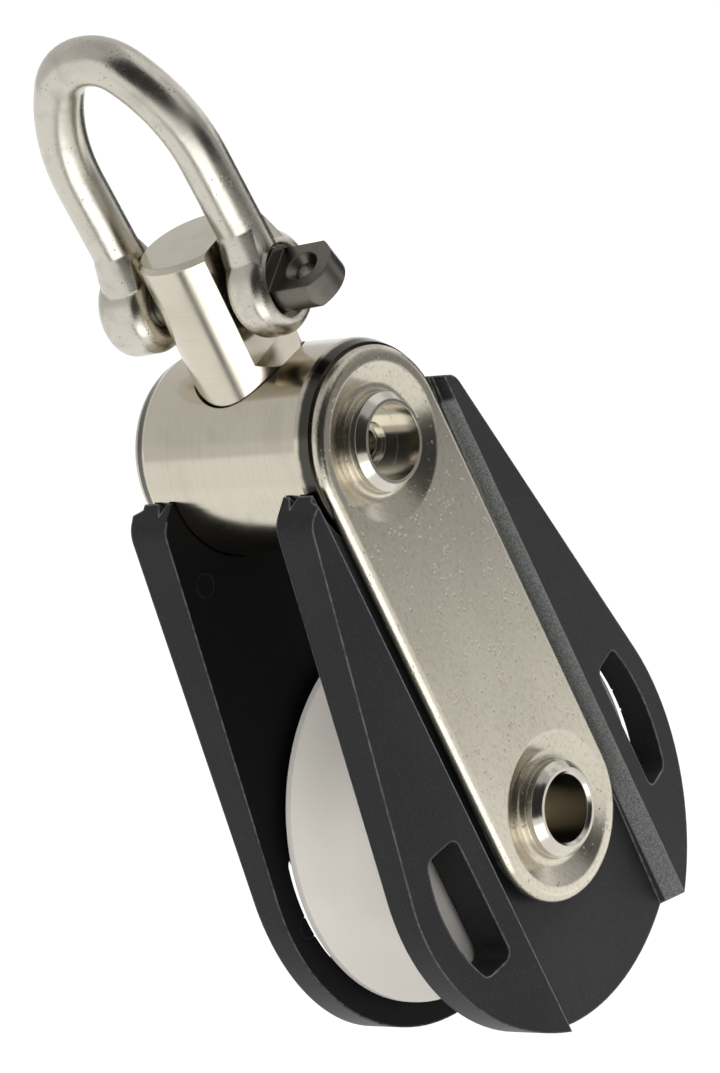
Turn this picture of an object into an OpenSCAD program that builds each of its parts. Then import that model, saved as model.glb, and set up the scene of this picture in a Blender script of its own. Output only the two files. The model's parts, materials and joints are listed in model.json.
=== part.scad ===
// Single swivel pulley block with a D-shackle, moulded cheeks and pressed steel side plates.
// Frame: origin at the centre of the sheave axle, +Y along the axle toward the near side,
// +Z up the block toward the shackle, +X to the side that the photograph shows.

/* [Block] */
// Distance from the sheave axle up to the axis of the head drum
axle_to_head = 80; // [76:1:90]
// Distance between the inner faces of the two cheeks
cheek_gap = 26.6; // [25:0.2:30]

/* [Sheave] */
// Diameter over the sheave flanges
sheave_d = 72; // [66:1:74]
// Width over the sheave flanges
sheave_w = 23.2; // [20:0.2:24]
// Diameter of the thickest rope that the groove takes
rope_d = 16.6; // [10:0.2:18]
// Depth of the groove below the flange edge
groove_depth = 8.3; // [7:0.1:12]
// Width of the flat land on the edge of each flange
flange_land = 1.3; // [0.8:0.1:2.5]
// Diameter of the thicker hub of the sheave
hub_d = 36; // [34:1:40]
// Gap between the sheave hub and each thrust washer
hub_gap = 0.2; // [0.1:0.05:0.4]

/* [Cheeks] */
// How far the round end of a cheek stands out past the sheave
cheek_cover = 4.3; // [3:0.1:7]
// How far below the axle the centre of the round end lies
cheek_drop = 0.6; // [0:0.1:2]
// Width of the cheek across the two horns at the head
horn_w = 48.8; // [47:0.2:53]
// Radius of the rounded corner of each horn
horn_r = 4.5; // [2:0.5:6]
// How far below the head axis the centre of that corner lies
horn_drop = 4.2; // [2:0.2:7]
// Slope of the horn's top edge, falling away from the drum, in degrees
horn_slope = 30; // [15:1:40]
// Greatest thickness of a cheek, at the edge of its channel
cheek_t = 9; // [8:0.2:11]
// Slope of each shoulder, falling away from the channel, in degrees
shoulder_slope = 9.9; // [4:0.5:12]
// Width of the channel between the two shoulders
channel_w = 41.6; // [40:0.2:44]
// Depth of the channel floor below the side plate, beside the axle
floor_depth = 2.3; // [1.6:0.1:3]
// Rise of the channel floor toward the head, in degrees
floor_slope = 1.4; // [0:0.1:2]
// Slope of the channel's side walls, in degrees from square
wall_draft = 22.8; // [5:1:30]
// Gap between the drum and the cut-out that holds it
cradle_gap = 0.22; // [0.1:0.02:0.5]

/* [Cheek details] */
// Distance of each slot's straight side from the middle of the cheek
slot_in = 25.2; // [23:0.2:27]
// Width of solid rim left outside each slot
slot_rim = 5.3; // [4:0.1:7]
// Length of each slot
slot_len = 26.6; // [18:0.2:30]
// Height of the middle of each slot, measured from the axle
slot_z = -0.9; // [-3:0.1:3]
// Radius of the slots' corners
slot_r = 2; // [1:0.1:2.5]
// Width of the notch in the top of each horn
notch_w = 2.4; // [1:0.1:3]
// Depth of that notch
notch_depth = 1.5; // [0.5:0.1:2]
// Distance of that notch from the cheek's inner face
notch_in = 2.4; // [1.5:0.1:4]
// Diameter of the round marks that the mould left on the inner faces
pin_mark_d = 4.8; // [3:0.1:6]
// Depth of those marks
pin_mark_depth = 0.25; // [0.1:0.05:0.5]
// Width of the line that each mark leaves
pin_mark_line = 0.4; // [0.2:0.05:0.6]
// Distance of the upper marks from the middle of the cheek
mark_high_x = 20.7; // [20.4:0.1:21]
// Depth of the upper marks below the head axis
mark_high_drop = 15.2; // [14:0.1:18]
// Distance of the lower marks from the middle of the cheek
mark_low_x = 35.3; // [34:0.1:36]
// Depth of the lower marks below the axle
mark_low_drop = 0.8; // [0:0.1:3]

/* [Side plates] */
// Width of each side plate
plate_w = 34.4; // [33:0.2:36]
// Thickness of the steel sheet
plate_t = 2; // [1.5:0.1:2.5]
// Radius rolled onto the outer edge of each plate
plate_edge_r = 1.6; // [0.8:0.1:1.9]
// Depth of the dish pressed in round each hole
dish_depth = 1.6; // [0.8:0.1:1.8]
// Diameter of the flat bottom of each dish
dish_d = 21.2; // [20:0.2:23]
// Diameter of each dish at the face of the plate
dish_top_d = 28.4; // [26:0.2:30]
// Height of the collar drawn up round each hole
collar_h = 1.45; // [0.8:0.05:2]
// Wall of that collar
collar_wall = 0.7; // [0.5:0.05:1]
// Height of the fillet at the foot of that collar
collar_foot = 0.7; // [0.3:0.05:0.9]
// Gap between a plate and the seat moulded on the cheek
seat_gap = 0.05; // [0.02:0.01:0.2]
// How far the seat's edge lies inside the flat of the plate
seat_inset = 0.3; // [0.1:0.1:1]
// Gap under the dish pressed into the plate
dish_gap = 0.1; // [0.05:0.01:0.2]

/* [Head drum] */
// Diameter of the drum
drum_d = 37.4; // [36:0.2:40]
// Distance between the outer faces of the drum, on which the plates bear
drum_len = 41; // [39:0.2:46]
// Length of the tapered shoulder at each end
drum_shoulder = 2.5; // [1:0.1:3.5]
// How much the radius falls over that shoulder
drum_shoulder_drop = 0.95; // [0.4:0.05:1.4]

/* [Axle and rivets] */
// Outer diameter of the rivets and of the axle tube where they pass through a plate
rivet_d = 16.6; // [15:0.2:17.4]
// Radial gap of the parts that sit on one another without turning
slip = 0.03; // [0.02:0.01:0.08]
// Radial gap of the parts that turn on one another
run = 0.06; // [0.03:0.01:0.1]
// Bore of the hollow axle
axle_bore_d = 12.5; // [11:0.1:13]
// How far the flared end of the axle stands above its collar
axle_lip_h = 2.6; // [1.8:0.1:4]
// Bore of the head rivets
rivet_bore_d = 13.7; // [12:0.1:14]
// Depth of that bore
rivet_bore_depth = 5.2; // [3:0.1:7]
// How far the flared end of a head rivet stands above its collar
rivet_lip_h = 2.4; // [1.8:0.1:4]
// How far the flare reaches out past the tube
flare = 0.55; // [0.2:0.05:0.6]
// How deep a head rivet reaches into the drum
rivet_reach = 6.3; // [5:0.1:7]
// Diameter of the step in the bottom of a head rivet's bore
step_d = 7.4; // [6:0.1:8.5]
// Diameter of the hole through the bottom of a head rivet
rivet_hole_d = 4.6; // [3:0.1:5.5]
// Wall of the sleeve that carries the bush
sleeve_wall = 2.05; // [1.6:0.05:2.6]
// Wall of the bronze bush
bush_wall = 2.4; // [1.5:0.1:3]
// Thickness of the thrust washers beside the sheave
thrust_t = 1; // [0.6:0.1:1.4]
// Width of the ring of each thrust washer
thrust_ring = 5.5; // [4:0.1:7]

/* [Swivel post] */
// Diameter of the post
post_d = 20.4; // [18:0.2:21]
// Height of the top of the post above the head axis
post_top = 43.5; // [42:0.1:50]
// Bevel round the top of the post
post_bevel = 0.9; // [0.4:0.1:2]
// Distance of the flat on the near side from the middle of the post
post_flat = 6.8; // [6:0.1:7.2]
// Height of the lower end of that flat above the head axis
flat_foot = 21; // [20.5:0.1:23]
// Gap round the post at the mouth of its hole
mouth_gap = 0.4; // [0.2:0.05:0.7]
// Height above the head axis at which that wider mouth begins
mouth_z = 13.5; // [10:0.5:15]
// Height of the bearing floor of the hole above the head axis
post_floor = 4.5; // [3:0.5:7]
// Diameter of the post's lower shank
shank_d = 12; // [10:0.5:13]
// Thickness of the web of the drum that the shank passes through
web_t = 9; // [7:0.5:11]
// Thickness of the swivel's washers
swivel_washer_t = 1.5; // [1:0.1:2]
// Width across the flats of the swivel nut
nut_af = 18; // [17:0.5:19]
// Height of the swivel nut
nut_h = 8; // [6:0.5:9]
// How far the shank stands out below the nut
shank_out = 0.8; // [0.2:0.1:1.5]
// Diameter of the recess that hides the nut
nut_recess_d = 22.8; // [22:0.2:23.6]
// Diameter of the pin that locks the nut to the shank
lock_pin_d = 3; // [2:0.5:4]

/* [Shackle] */
// Diameter of the shackle's bar
bar_d = 8.8; // [7:0.2:9.4]
// Distance between the inner faces of the ears
ear_gap = 18.4; // [17.6:0.2:21]
// Thickness of the near ear
ear_t = 8.2; // [7:0.2:10]
// Diameter of the near ear
ear_d = 18.8; // [17:0.2:20]
// Thickness of the far ear, which the pin screws into
screw_ear_t = 10; // [8:0.2:11]
// Diameter of the far ear
screw_ear_d = 17; // [15.6:0.2:20]
// Rounding of the ears' edges
ear_round = 3; // [1:0.2:3.8]
// Height of the pin above the head axis
pin_z = 32.5; // [31:0.5:36]
// Distance from the pin to the middle of the bar at the crown
bow_h = 49.3; // [44:0.1:56]
// Radius of the top of the crown, along the middle of the bar
crown_top_r = 8.4; // [7.6:0.1:10]
// Length of the tapered neck where a leg runs into its ear
neck_len = 8; // [4:0.5:12]
// How far that neck widens the leg on each side
neck_flare = 1.8; // [1:0.1:2.6]
// How far that neck starts inside the rim of its ear
neck_sink = 2.5; // [1.5:0.1:4]
// Turn of the swivel at rest, in degrees about the block's long axis
swivel_turn = 9.5; // [-45:0.5:45]
// Lean of the shackle at rest, in degrees about its pin
shackle_lean = 3.6; // [-20:0.2:20]
// How far the shackle has slid along its pin's line, away from the near side
shackle_slide = 1.6; // [0:0.1:1.6]

/* [Shackle pin] */
// Diameter of the pin
pin_d = 8.4; // [6:0.1:8.6]
// Clearance round the pin in the post and in the near ear
pin_gap = 0.25; // [0.2:0.05:0.5]
// Diameter of the pin's head
pin_head_d = 11.8; // [9.6:0.1:12]
// Diameter of the recess in the ear that the head sits in
pin_recess_d = 12.8; // [12.6:0.1:13.2]
// Depth of that recess
pin_recess = 2.8; // [1:0.1:3]
// Bevel round that recess
recess_bevel = 0.5; // [0.2:0.1:0.8]
// Diameter at the root of the pin's screw thread
thread_root_d = 7.1; // [5.6:0.1:7.6]
// Thickness of the flattened tab
tab_t = 5.3; // [4:0.1:6]
// How far the tab stands out of the ear
tab_len = 10; // [9:0.2:14]
// Radius of the rounded end of the tab
tab_end_r = 6.6; // [6:0.1:9]
// Diameter of the eye through the tab
eye_d = 3.6; // [2.5:0.1:4.5]
// Diameter of the eye's countersink
eye_sink_d = 6.2; // [5:0.1:7.4]
// Distance of the eye from the end of the tab
eye_in = 5.6; // [4.4:0.1:6.4]
// Turn of the tab about the pin, in degrees
tab_turn = 18; // [-90:1:90]

/* [Hidden] */
$fn = 96;
eps = 0.01;
big = 200;

cheek_in = cheek_gap / 2;
cheek_crest = cheek_in + cheek_t;
cheek_r = sheave_d / 2 + cheek_cover;
cradle_r = drum_d / 2 + cradle_gap;
plate_in = drum_len / 2;
floor_y = plate_in - floor_depth;
plate_out = plate_in + plate_t;
dish_floor = plate_out - dish_depth;
dish_under = dish_floor - plate_t;
dish_run = (dish_top_d - dish_d) / 2;
collar_top = dish_floor + collar_h;
rivet_r = rivet_d / 2;
collar_r = rivet_r + slip + collar_wall;
sleeve_r = rivet_r + slip + sleeve_wall;
bush_r = sleeve_r + run + bush_wall;
post_r = post_d / 2;
post_hole_r = post_r + run;
shank_r = shank_d / 2;
pin_r = pin_d / 2;
nut_foot = post_floor - web_t - swivel_washer_t - nut_h;
ear_mid = (ear_gap + ear_t) / 2;
steel = [0.78, 0.75, 0.68];
polished = [0.82, 0.8, 0.75];
moulding = [0.2, 0.21, 0.21];

// Angle of the line that touches the round end and a horn corner on the same side.
function flank_angle(dx, dz, r_low, r_high) =
    atan2(dz, dx) - acos((r_low - r_high) / sqrt(dx * dx + dz * dz));
function on_circle(c, r, a) = [c[0] + r * cos(a), c[1] + r * sin(a)];
function flip(p) = [-p[0], p[1]];

// Stands a profile drawn as [radius, height along the axle] up on the axle's line.
module turn_on_y(z = 0) {
    translate([0, 0, z]) rotate([-90, 0, 0]) rotate_extrude() children();
}

// A straight bar along the axle's line from y0 to y1.
module bar_y(r, y0, y1, z = 0) {
    translate([0, y0, z]) rotate([-90, 0, 0]) cylinder(r = r, h = y1 - y0);
}

// Draws what is made for the near side, or its mirror image for the far side.
module on_side(near) {
    if (near) children();
    else mirror([0, 1, 0]) children();
}

// Places the swivel's own parts, turned as the swivel rests.
module in_swivel() {
    translate([0, 0, axle_to_head]) rotate([0, 0, swivel_turn]) children();
}

// Places what hangs on the shackle pin: x along the pin, z up the shackle.
module on_pin(lean = 0) {
    in_swivel() translate([0, -shackle_slide, pin_z]) rotate([0, lean, 0]) rotate([0, 0, 90])
        children();
}

// Outline of a cheek, seen along the axle. Its straight lines run a hair inside the round
// parts that they touch, so that each line cuts its circle cleanly.
module cheek_outline() {
    low = [0, -cheek_drop];
    corner = [horn_w / 2 - horn_r, axle_to_head - horn_drop];
    a = flank_angle(corner[0], corner[1] + cheek_drop, cheek_r, horn_r);
    touch_low = on_circle(low, cheek_r - eps, a);
    touch_high = on_circle(corner, horn_r - eps, a);
    shoulder = on_circle(corner, horn_r - eps, 90 - horn_slope);
    run_in = shoulder[0] - drum_d / 2;
    peak = shoulder + run_in * [-1, tan(horn_slope)];
    difference() {
        union() {
            translate(low) circle(r = cheek_r);
            translate(corner) circle(r = horn_r);
            translate(flip(corner)) circle(r = horn_r);
            polygon([touch_low, touch_high, corner, shoulder, peak, flip(peak), flip(shoulder),
                flip(corner), flip(touch_high), flip(touch_low), low]);
        }
        translate([0, axle_to_head]) circle(r = cradle_r);
        translate([-cradle_r, axle_to_head]) square([2 * cradle_r, drum_d]);
    }
}

// Rounded opening through one shoulder: straight inside, following the rim outside.
module slot_outline() {
    rim_r = cheek_r - slot_rim;
    z0 = slot_z - slot_len / 2;
    z1 = slot_z + slot_len / 2;
    low = [sqrt(pow(rim_r - slot_r, 2) - pow(z0 + slot_r, 2)), z0 + slot_r];
    high = [sqrt(pow(rim_r - slot_r, 2) - pow(z1 - slot_r, 2)), z1 - slot_r];
    inner_x = slot_in + slot_r;
    intersection() {
        circle(r = rim_r);
        polygon([[0, 0], 2 * low, 2 * high]);
        translate([slot_in, z0]) square([rim_r, slot_len]);
    }
    polygon([[slot_in, z0 + slot_r], low, high, [slot_in, z1 - slot_r]]);
    polygon([[inner_x, z0], [low[0], z0], [high[0], z1], [inner_x, z1]]);
    for (c = [low, high, [inner_x, low[1]], [inner_x, high[1]]])
        translate(c) circle(r = slot_r);
}

// Turns a flat outline in x and z into a slab that spans y0 to y1.
module slab(y0, y1) {
    translate([0, y1, 0]) rotate([90, 0, 0]) linear_extrude(y1 - y0) children();
}

// Cross-section of the cheek: flat inside, two shoulders that fall away from the channel.
// Their slopes carry on a little over the channel, so that its walls cut the crests.
module shoulder_section() {
    over = 2;
    reach = cheek_r + horn_w;
    edge = cheek_crest - (reach - channel_w / 2) * tan(shoulder_slope);
    inner = cheek_crest + over * tan(shoulder_slope);
    polygon([[-reach, cheek_in], [reach, cheek_in], [reach, edge], [channel_w / 2 - over, inner],
        [over - channel_w / 2, inner], [-reach, edge]]);
}

// Space over the channel floor, between side walls that lean outward.
module channel_space() {
    above = 2;
    deep = cheek_t;
    grow = tan(wall_draft);
    intersection() {
        translate([0, 0, -big]) linear_extrude(2 * big)
            polygon([[-channel_w / 2 - above * grow, cheek_crest + above],
                [channel_w / 2 + above * grow, cheek_crest + above],
                [channel_w / 2 - deep * grow, cheek_crest - deep],
                [-channel_w / 2 + deep * grow, cheek_crest - deep]]);
        translate([0, floor_y, 0]) rotate([-floor_slope, 0, 0])
            translate([-big, 0, -big]) cube([2 * big, big, 2 * big]);
    }
}

// Raised seat on the channel floor that backs the side plate.
module plate_seat() {
    seat_r = plate_w / 2 - plate_edge_r - seat_inset;
    slab(floor_y - 1, plate_in - seat_gap) difference() {
        union() {
            circle(r = seat_r);
            translate([-seat_r, 0]) square([2 * seat_r, axle_to_head - cradle_r + seat_r]);
        }
        translate([0, axle_to_head]) circle(r = cradle_r);
    }
}

// Hollow for the underside of a plate's dish.
module dish_hollow(z) {
    turn_on_y(z) polygon([[0, dish_under - dish_gap], [dish_d / 2 + 1, dish_under - dish_gap],
        [dish_top_d / 2 + 1 + 3 * dish_gap, plate_in], [dish_top_d / 2 + 1 + 3 * dish_gap, plate_out],
        [0, plate_out]]);
}

// One of the round marks that the mould's pins left on the inner face.
module pin_mark(x, z) {
    translate([x, cheek_in - eps, z]) rotate([-90, 0, 0]) difference() {
        cylinder(d = pin_mark_d, h = pin_mark_depth + eps);
        translate([0, 0, -eps]) cylinder(d = pin_mark_d - 2 * pin_mark_line, h = pin_mark_depth + 3 * eps);
    }
}

// Notch in the top of a horn, with the seam that runs down from it.
module horn_notch() {
    run_in = horn_w / 2 - horn_r - drum_d / 2;
    top = axle_to_head - horn_drop + horn_r / cos(horn_slope) + run_in * tan(horn_slope);
    y = cheek_in + notch_in;
    translate([0, y, top]) rotate([90, 0, 90]) translate([0, 0, -horn_w])
        linear_extrude(2 * horn_w)
            polygon([[-notch_w / 2, eps], [0, -notch_depth], [notch_w / 2, eps]]);
}

module cheek() {
    difference() {
        union() {
            difference() {
                intersection() {
                    slab(cheek_in, cheek_crest + 1) cheek_outline();
                    translate([0, 0, -big]) linear_extrude(2 * big) shoulder_section();
                }
                channel_space();
            }
            plate_seat();
        }
        for (side = [0, 1]) mirror([side, 0, 0]) {
            slab(cheek_in - 1, cheek_crest + 1) slot_outline();
            pin_mark(mark_high_x, axle_to_head - mark_high_drop);
            pin_mark(mark_low_x, -mark_low_drop);
        }
        bar_y(sleeve_r + slip, cheek_in - 1, cheek_crest);
        dish_hollow(0);
        horn_notch();
    }
}

module near_cheek() { color(moulding) on_side(true) cheek(); }
module far_cheek() { color(moulding) on_side(false) cheek(); }

// Half of a plate's cross-section, with the outer edge rolled over.
module plate_section() {
    flat = plate_w / 2 - plate_edge_r;
    translate([0, plate_in]) square([flat, plate_t]);
    translate([0, plate_in]) square([flat + plate_edge_r, plate_t - plate_edge_r]);
    translate([flat, plate_out - plate_edge_r]) intersection() {
        circle(r = plate_edge_r, $fn = 48);
        square(2 * plate_edge_r);
    }
}

// The round end of a plate, below its hole.
module plate_end() {
    rotate([-90, 0, 0]) rotate_extrude(angle = 180) plate_section();
}

// Profile of the metal pressed below the plate by the dish.
module dish_metal() {
    polygon([[0, dish_under], [dish_d / 2 + 1, dish_under], [dish_top_d / 2 + 1, plate_in + eps],
        [0, plate_in + eps]]);
}

// Profile of the hollow of the dish, seen from outside, round the collar and its foot.
module dish_space() {
    foot = collar_foot;
    polygon([[0, collar_top], [collar_r, collar_top], [collar_r, dish_floor + foot],
        [collar_r + 0.25 * foot, dish_floor + 0.25 * foot], [collar_r + foot, dish_floor],
        [dish_d / 2, dish_floor], [dish_top_d / 2, plate_out], [dish_top_d / 2, plate_out + 1],
        [0, plate_out + 1]]);
}

module side_plate() {
    difference() {
        union() {
            plate_end();
            translate([0, 0, axle_to_head]) mirror([0, 0, 1]) plate_end();
            linear_extrude(axle_to_head) {
                plate_section();
                mirror([1, 0]) plate_section();
            }
            for (z = [0, axle_to_head]) turn_on_y(z) dish_metal();
            for (z = [0, axle_to_head]) bar_y(collar_r, plate_in, collar_top, z);
        }
        for (z = [0, axle_to_head]) {
            turn_on_y(z) dish_space();
            bar_y(rivet_r + slip, dish_under - 1, collar_top + 1, z);
        }
    }
}

module near_side_plate() { color(steel) on_side(true) side_plate(); }
module far_side_plate() { color(steel) on_side(false) side_plate(); }

// Profile of a flared end that sits on a collar: a wide band, a taper and a rounded lip.
module flared_end(bore_r, lip_h) {
    base = collar_top + slip;
    wide = rivet_r + flare;
    lip = 0.6;
    tip = base + lip_h;
    polygon([[bore_r, base], [wide, base], [wide, base + 0.45 * lip_h],
        [rivet_r - 0.2, tip - lip], [rivet_r - 0.2 - lip, tip], [bore_r + lip, tip],
        [bore_r, tip - lip]]);
}

module head_rivet() {
    bore_r = rivet_bore_d / 2;
    tip = collar_top + slip + rivet_lip_h;
    floor_y = tip - rivet_bore_depth;
    inner_y = plate_in - dish_depth - rivet_reach;
    difference() {
        union() {
            turn_on_y() flared_end(0, rivet_lip_h);
            bar_y(rivet_r, inner_y, collar_top + slip + eps);
        }
        bar_y(bore_r, floor_y, tip + 1);
        bar_y(step_d / 2, floor_y - 0.9, floor_y + 1);
        bar_y(rivet_hole_d / 2, inner_y - 1, floor_y);
    }
}

module near_head_rivet() {
    color(polished) translate([0, 0, axle_to_head]) on_side(true) head_rivet();
}
module far_head_rivet() {
    color(polished) translate([0, 0, axle_to_head]) on_side(false) head_rivet();
}

module head_drum() {
    mid_len = drum_len - 2 * drum_shoulder;
    drum_r = drum_d / 2;
    color(steel) difference() {
        turn_on_y(axle_to_head) polygon([[0, -drum_len / 2],
            [drum_r - drum_shoulder_drop, -drum_len / 2], [drum_r, -mid_len / 2],
            [drum_r, mid_len / 2], [drum_r - drum_shoulder_drop, drum_len / 2],
            [0, drum_len / 2]]);
        for (near = [true, false]) on_side(near) {
            dish_hollow(axle_to_head);
            bar_y(rivet_r + slip, dish_under - rivet_reach, plate_in, axle_to_head);
        }
        translate([0, 0, axle_to_head]) {
            translate([0, 0, post_floor]) cylinder(r = post_hole_r, h = drum_d);
            translate([0, 0, mouth_z]) cylinder(r = post_r + mouth_gap, h = drum_d);
            translate([0, 0, -drum_d]) cylinder(r = shank_r + run, h = 2 * drum_d);
            translate([0, 0, post_floor - web_t - drum_d]) cylinder(d = nut_recess_d, h = drum_d);
        }
    }
}

module sheave_axle() {
    bore_r = axle_bore_d / 2;
    color(polished) difference() {
        union() {
            for (near = [true, false]) on_side(near)
                turn_on_y() flared_end(bore_r, axle_lip_h);
            bar_y(rivet_r, -collar_top - slip - eps, collar_top + slip + eps);
        }
        bar_y(bore_r, -big, big);
    }
}

// A plain ring on the axle's line.
module ring_y(r_in, r_out, y0, y1) {
    difference() {
        bar_y(r_out, y0, y1);
        bar_y(r_in, y0 - 1, y1 + 1);
    }
}

module axle_sleeve() {
    color(steel) ring_y(rivet_r + slip, sleeve_r, -dish_under, dish_under);
}

module thrust_washer(near) {
    outer = cheek_in - slip;
    color("gainsboro") on_side(near)
        ring_y(sleeve_r + slip, sleeve_r + thrust_ring, outer - thrust_t, outer);
}

module near_thrust_washer() { thrust_washer(true); }
module far_thrust_washer() { thrust_washer(false); }

module sheave_bush() {
    half = cheek_in - slip - thrust_t - hub_gap;
    color("peru") ring_y(sleeve_r + run, bush_r, -half, half);
}

module sheave() {
    r = sheave_d / 2;
    half = sheave_w / 2;
    hub_half = cheek_in - slip - thrust_t - hub_gap;
    root = r - groove_depth;
    root_r = rope_d / 2;
    mouth = half - flange_land;
    // The groove's wall touches the round root and ends at the flange's land.
    dx = groove_depth - root_r;
    reach = sqrt(dx * dx + mouth * mouth);
    a = atan2(mouth, dx) + acos(root_r / reach);
    touch = [root + root_r + root_r * cos(a), root_r * sin(a)];
    color("ivory") difference() {
        turn_on_y() difference() {
            union() {
                translate([0, -half]) square([r, sheave_w]);
                translate([0, -hub_half]) square([hub_d / 2, 2 * hub_half]);
                polygon([[hub_d / 2, -hub_half], [hub_d / 2 + 3, -half], [hub_d / 2 + 3, half],
                    [hub_d / 2, hub_half]]);
            }
            translate([root + root_r, 0]) circle(r = root_r);
            polygon([touch, [r, mouth], [r + 1, mouth], [r + 1, -mouth], [r, -mouth],
                [touch[0], -touch[1]]]);
        }
        bar_y(bush_r + slip, -big, big);
    }
}

// The post's upper part: a round bar with a flat that runs out on a slope at its foot.
module post_body() {
    run_out = post_r - post_flat;
    difference() {
        union() {
            translate([0, 0, post_floor + swivel_washer_t])
                cylinder(r = post_r, h = post_top - post_bevel - post_floor - swivel_washer_t);
            translate([0, 0, post_top - post_bevel])
                cylinder(r1 = post_r, r2 = post_r - post_bevel, h = post_bevel);
        }
        rotate([90, 0, 90]) translate([0, 0, -post_d]) linear_extrude(2 * post_d)
            polygon([[post_flat, flat_foot], [post_flat, post_top + 1],
                [post_d, post_top + 1], [post_d, flat_foot - run_out],
                [post_r, flat_foot - run_out]]);
    }
}

// The lock pin's line, across the shank through the middle of the nut.
module across_nut(r) {
    translate([-nut_af, 0, nut_foot + nut_h / 2]) rotate([0, 90, 0]) cylinder(r = r, h = 2 * nut_af);
}

module swivel_post() {
    color(polished) in_swivel() difference() {
        union() {
            post_body();
            translate([0, 0, nut_foot - shank_out])
                cylinder(r = shank_r, h = post_floor - nut_foot + 2 * shank_out + swivel_washer_t);
        }
        translate([0, -big / 2, pin_z]) rotate([-90, 0, 0]) cylinder(r = pin_r + pin_gap, h = big);
        across_nut(lock_pin_d / 2 + slip);
    }
}

// A flat washer round the shank, its lower face at z.
module shank_washer(outer_r, z) {
    translate([0, 0, z]) difference() {
        cylinder(r = outer_r, h = swivel_washer_t - 0.04);
        translate([0, 0, -1]) cylinder(r = shank_r + run, h = swivel_washer_t + 2);
    }
}

module swivel_thrust_washer() {
    color("goldenrod") in_swivel() shank_washer(post_r - 0.3, post_floor + 0.02);
}

module swivel_nut_washer() {
    color("gainsboro") in_swivel()
        shank_washer(nut_recess_d / 2 - 0.5, post_floor - web_t - swivel_washer_t + 0.02);
}

module swivel_nut() {
    color(steel) in_swivel() difference() {
        translate([0, 0, nut_foot]) cylinder(d = nut_af / cos(30), h = nut_h, $fn = 6);
        translate([0, 0, nut_foot - 1]) cylinder(r = shank_r + slip, h = nut_h + 2);
        across_nut(lock_pin_d / 2 + slip);
    }
}

module swivel_lock_pin() {
    color("gray") in_swivel() intersection() {
        across_nut(lock_pin_d / 2);
        translate([0, 0, nut_foot]) cylinder(r = nut_af / 2 + 0.4, h = nut_h);
    }
}

// Profile of an ear, turned about the pin: a disc with rounded edges, from its inner face up.
module ear_profile(r, thick) {
    square([r - ear_round, thick]);
    translate([0, ear_round]) square([r, thick - 2 * ear_round]);
    for (y = [ear_round, thick - ear_round]) translate([r - ear_round, y])
        circle(r = ear_round, $fn = 48);
}

// The part of a ring of round bar that lies inside a wedge, both drawn in x and z.
module bent_bar(centre, radius, wedge) {
    intersection() {
        translate([centre[0], 0, centre[1]]) rotate([90, 0, 0]) rotate_extrude(angle = 180)
            translate([radius, 0]) circle(d = bar_d, $fn = 64);
        translate([0, bar_d, 0]) rotate([90, 0, 0]) linear_extrude(2 * bar_d) polygon(wedge);
    }
}

// The neck that widens a leg sideways where it runs into its ear.
module neck() {
    half = ear_t / 2 - 0.3;
    intersection() {
        translate([0, 0, screw_ear_d / 2 - neck_sink])
            cylinder(r1 = bar_d / 2 + neck_flare, r2 = bar_d / 2 - 0.4, h = neck_len);
        translate([-half, -ear_d, 0]) cube([2 * half, 2 * ear_d, 2 * ear_d]);
    }
}

// The bow of the shackle, standing on its pin's line, which runs along x. The side arcs
// and the top arc meet on lines that rise 3 in 4 from the centres of both.
module bow() {
    side_r = 5 * ear_mid - 4 * crown_top_r;
    rise = 0.6 * (side_r - crown_top_r);
    leg_h = bow_h - rise - crown_top_r;
    side_c = [ear_mid - side_r, leg_h];
    top_c = [0, leg_h + rise];
    far = 100;
    for (turn = [0, 180]) rotate([0, 0, turn]) {
        translate([ear_mid, 0, 0]) {
            cylinder(d = bar_d, h = leg_h);
            neck();
        }
        bent_bar(side_c, side_r, [side_c, side_c + far * [1, -1], side_c + far * [0.8, 0.6]]);
    }
    bent_bar(top_c, crown_top_r, [top_c, top_c + far * [0.8, 0.6], top_c + far * [-0.8, 0.6]]);
    translate([ear_gap / 2, 0, 0]) rotate([0, 90, 0]) rotate_extrude()
        ear_profile(ear_d / 2, ear_t);
    translate([-ear_gap / 2, 0, 0]) rotate([0, -90, 0]) rotate_extrude()
        ear_profile(screw_ear_d / 2, screw_ear_t);
}

module shackle_bow() {
    outer = ear_gap / 2 + ear_t;
    color(polished) on_pin(shackle_lean) difference() {
        bow();
        // The hole of the near ear clears the pin; that of the far ear fits its thread.
        rotate([0, 90, 0]) cylinder(r = pin_r + pin_gap, h = big);
        translate([-big, 0, 0]) rotate([0, 90, 0]) cylinder(r = pin_r + run, h = big + 1);
        translate([outer - pin_recess, 0, 0]) rotate([0, 90, 0])
            cylinder(d = pin_recess_d, h = pin_recess + 1);
        translate([outer - recess_bevel, 0, 0]) rotate([0, 90, 0])
            cylinder(d1 = pin_recess_d, d2 = pin_recess_d + 4 * recess_bevel, h = 2 * recess_bevel);
    }
}

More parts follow.
